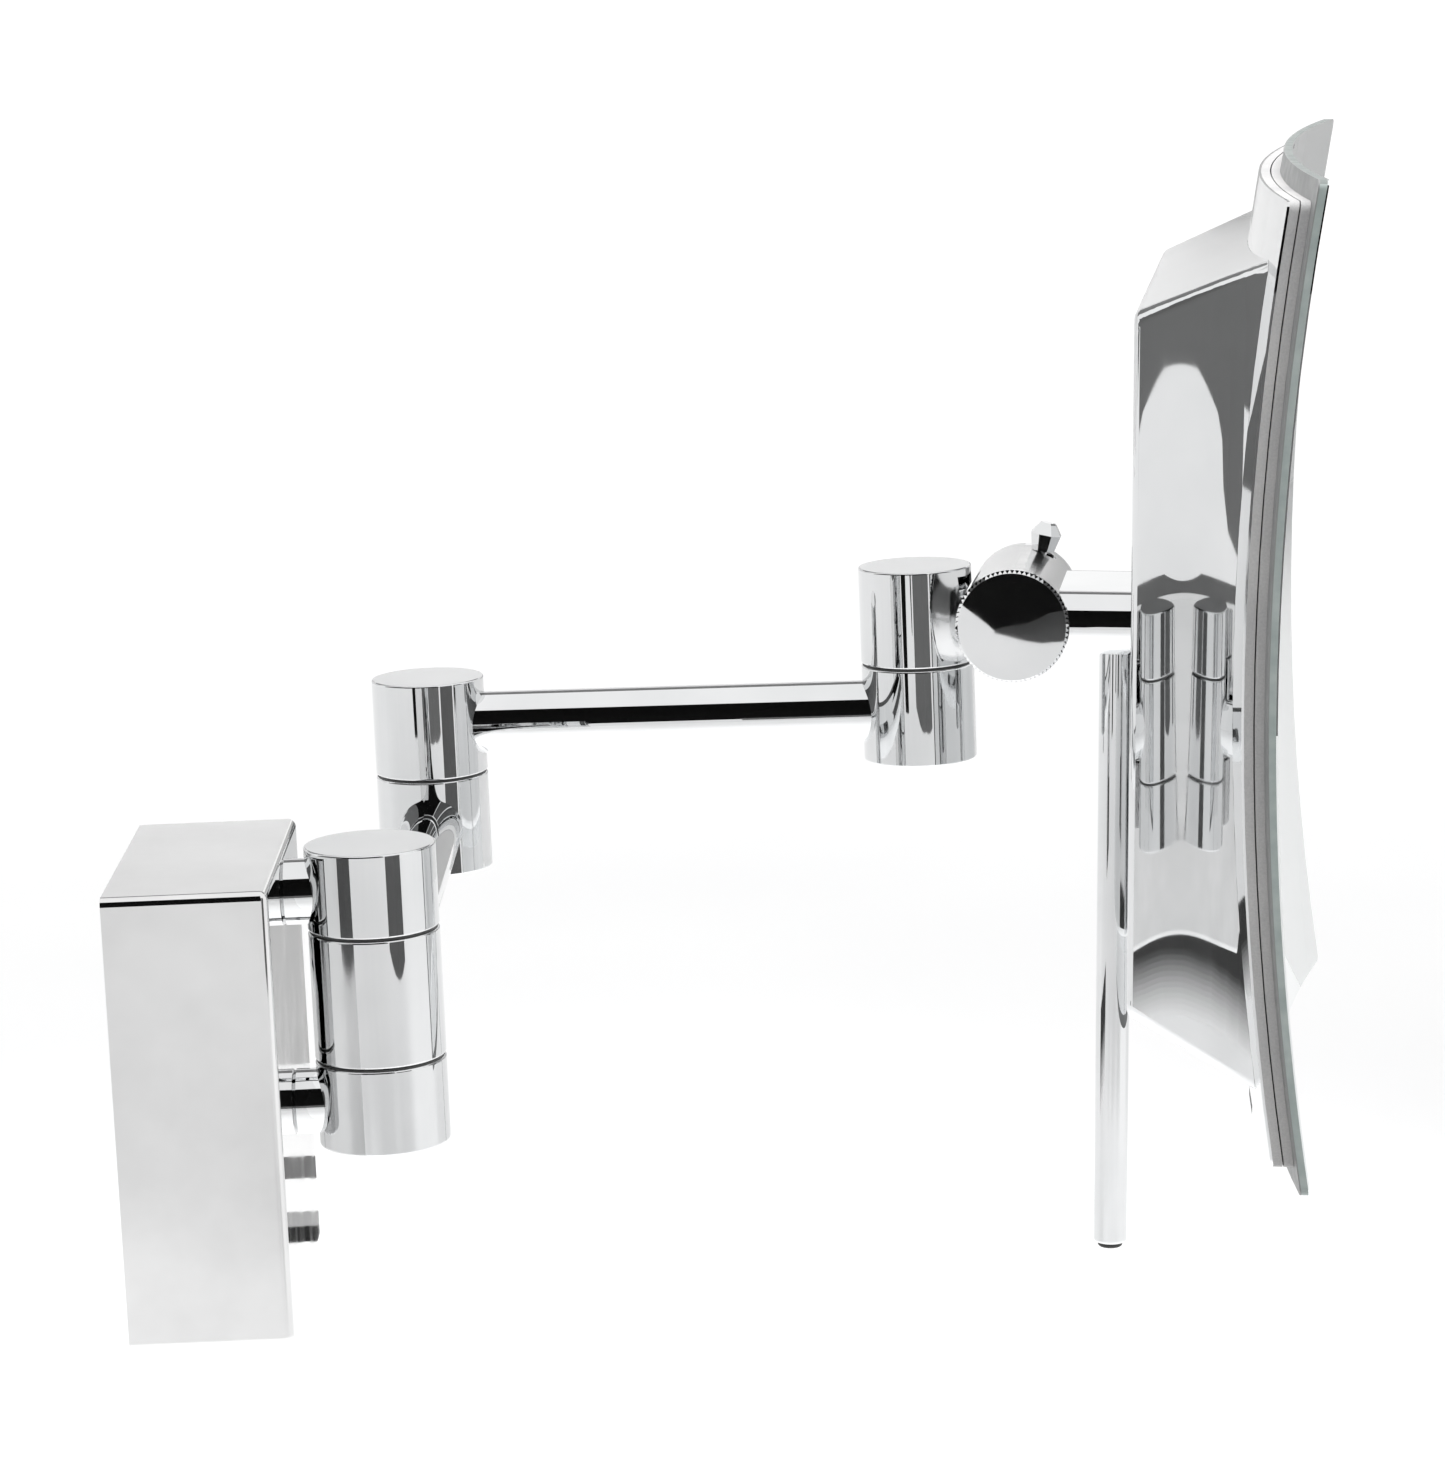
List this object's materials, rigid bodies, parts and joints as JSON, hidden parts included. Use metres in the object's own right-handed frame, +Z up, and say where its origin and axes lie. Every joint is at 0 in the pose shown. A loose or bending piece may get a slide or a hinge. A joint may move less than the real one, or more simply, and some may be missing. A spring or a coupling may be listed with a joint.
{
  "type": "extendable shaving mirror",
  "caption": "Wall-mounted, lit, concave square shaving mirror on a two-section swinging chrome arm, with a tilting head, hanging handle rod and toggle switch.",
  "frame": {"origin": "on the wall, at the centre of the wall box's back", "axes": "+X points out of the wall into the room, +Y along the wall to the right as seen facing it from the arms' near side, +Z up; arms stand in their rest pose"},
  "size_m": [0.266, 0.2763, 0.2457],
  "materials": {
    "polished_chrome": "mirror-polished chrome plate",
    "satin_chrome": "brushed chrome plate",
    "plated_steel": "zinc-plated steel",
    "turned_steel": "turned steel",
    "silvered_glass": "silvered concave glass",
    "frosted_acrylic": "frosted light-guide acrylic",
    "black_rubber": "matt",
    "black_nylon": "matt",
    "white_nylon": "matt",
    "driver_case": "moulded case",
    "board": "white solder mask",
    "lamp": "phosphor lens",
    "wire_sheath": "flexible sheath"
  },
  "bodies": {
    "wall_unit": {"wall_box": "satin_chrome", "back_plate": "plated_steel", "arm_bracket": "plated_steel", "cover_set_screws": "turned_steel", "post_upper": "polished_chrome", "post_lower": "polished_chrome", "post_nuts": "plated_steel", "led_driver": "driver_case", "terminal_block": "white_nylon", "cable_grommet": "black_rubber", "pivot1_top_knuckle": "polished_chrome", "pivot1_bottom_knuckle": "polished_chrome", "pivot1_pin": "turned_steel", "pivot1_washers": "black_nylon"},
    "arm_1": {"pivot1_barrel": "polished_chrome", "arm1_tube": "polished_chrome", "arm1_wire": "wire_sheath", "pivot2_lower_knuckle": "polished_chrome", "pivot2_pin": "turned_steel", "pivot2_washer": "black_nylon"},
    "arm_2": {"pivot2_upper_knuckle": "polished_chrome", "arm2_tube": "polished_chrome", "arm2_wire": "wire_sheath", "pivot3_lower_knuckle": "polished_chrome", "pivot3_pin": "turned_steel", "pivot3_washer": "black_nylon"},
    "swivel": {"pivot3_upper_knuckle": "polished_chrome", "tilt_tongue": "polished_chrome", "tilt_friction_washers": "black_nylon"},
    "mirror_head": {"tilt_drum": "satin_chrome", "drum_cap_near": "polished_chrome", "drum_cap_far": "polished_chrome", "tilt_axle": "turned_steel", "head_arm": "polished_chrome", "housing_screws": "turned_steel", "handle_rod": "polished_chrome", "handle_tip": "black_rubber", "rear_housing": "polished_chrome", "back_skin": "polished_chrome", "edge_band_rear": "frosted_acrylic", "edge_band_gasket": "black_rubber", "edge_band_front": "frosted_acrylic", "mirror_glass": "silvered_glass", "led_board": "board", "led_chips": "lamp", "board_spacers": "white_nylon", "switch_body": "black_nylon", "switch_bushing": "polished_chrome"},
    "switch_lever": {"switch_lever": "polished_chrome"}
  },
  "joints": [
    {"name": "arm_1_swing", "type": "hinge", "parent": "wall_unit", "child": "arm_1", "pos_m": [0.0471, 0, 0.0155], "axis": [0, 0, 1], "range_deg": [-178.9, 1.1]},
    {"name": "arm_2_swing", "type": "hinge", "parent": "arm_1", "child": "arm_2", "pos_m": [0.05019, 0.16097, 0.0264], "axis": [0, 0, 1], "range_deg": [-1.9, 188.1]},
    {"name": "head_swing", "type": "hinge", "parent": "arm_2", "child": "swivel", "pos_m": [0.1594, 0.15295, 0.0482], "axis": [0, 0, 1], "range_deg": [-55.8, 64.2]},
    {"name": "head_tilt", "type": "hinge", "parent": "swivel", "child": "mirror_head", "pos_m": [0.18195, 0.14962, 0.0591], "axis": [0.1461, 0.9893, 0], "range_deg": [-20, 20]},
    {"name": "switch_toggle", "type": "hinge", "parent": "mirror_head", "child": "switch_lever", "pos_m": [0.18793, 0.16309, 0.06719], "axis": [0.1461, 0.9893, 0], "range_deg": [0, 26]}
  ]
}
